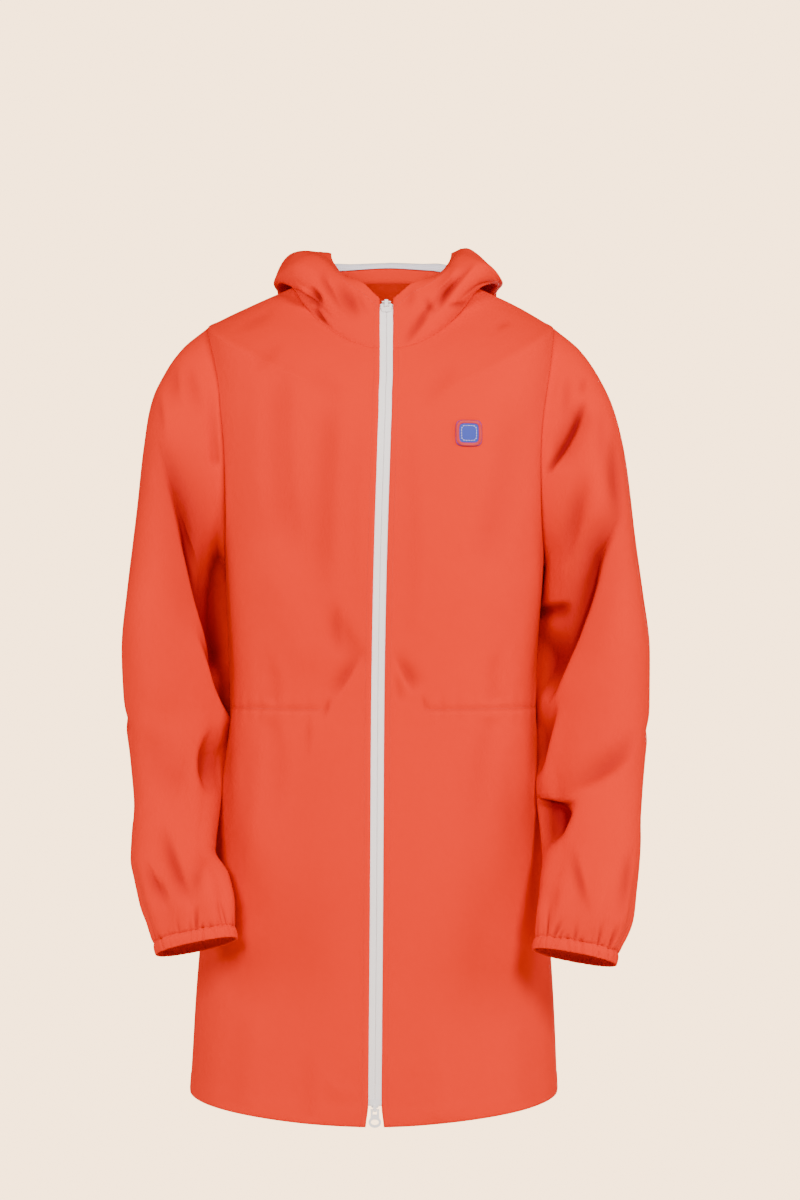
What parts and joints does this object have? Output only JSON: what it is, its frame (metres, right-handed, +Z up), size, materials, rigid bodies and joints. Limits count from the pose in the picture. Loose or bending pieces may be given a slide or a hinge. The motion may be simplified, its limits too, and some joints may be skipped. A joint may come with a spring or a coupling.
{
  "type": "long raincoat",
  "caption": "Long hooded raincoat in worn form, hollow and open at neck, cuffs and hem, with a two-way front zip, gathered cuffs and the hood lying down behind the neck.",
  "frame": {"origin": "centre of the neck base, between the shoulders, where a wearer holds the coat up", "axes": "+Z up towards the hood, front of the coat towards -Y, wearer's left towards +X"},
  "size_m": [0.5784, 0.3435, 0.9417],
  "materials": {
    "cloth": "orange coated cloth, soft sheen",
    "lining": "pale lilac mesh",
    "tape": "white woven tape with a white coil",
    "patch": "blue twill with stitched edge",
    "enamel": "white enamel, satin"
  },
  "bodies": {
    "garment": {"back": "cloth", "front_right": "cloth", "front_left": "cloth", "sleeve_right_upper": "cloth", "sleeve_right_lower": "cloth", "sleeve_left_upper": "cloth", "sleeve_left_lower": "cloth", "cuff_right": "cloth", "cuff_left": "cloth", "hood_side_right": "cloth", "hood_side_left": "cloth", "hood_centre": "cloth", "hood_lining": "lining", "zip_tape_right": "tape", "zip_tape_left": "tape", "patch": "patch", "slider_upper": "enamel", "slider_lower": "enamel"},
    "upper_pull": {"pull_upper": "enamel"},
    "lower_pull": {"pull_lower": "enamel"}
  },
  "joints": [
    {"name": "upper_pull_swing", "type": "hinge", "parent": "garment", "child": "upper_pull", "pos_m": [0.003, -0.08212, -0.02141], "axis": [1, 0, 0], "range_deg": [0, 225]},
    {"name": "lower_pull_swing", "type": "hinge", "parent": "garment", "child": "lower_pull", "pos_m": [-0.00883, -0.14339, -0.87659], "axis": [-1, 0, 0], "range_deg": [-85, 135]}
  ]
}
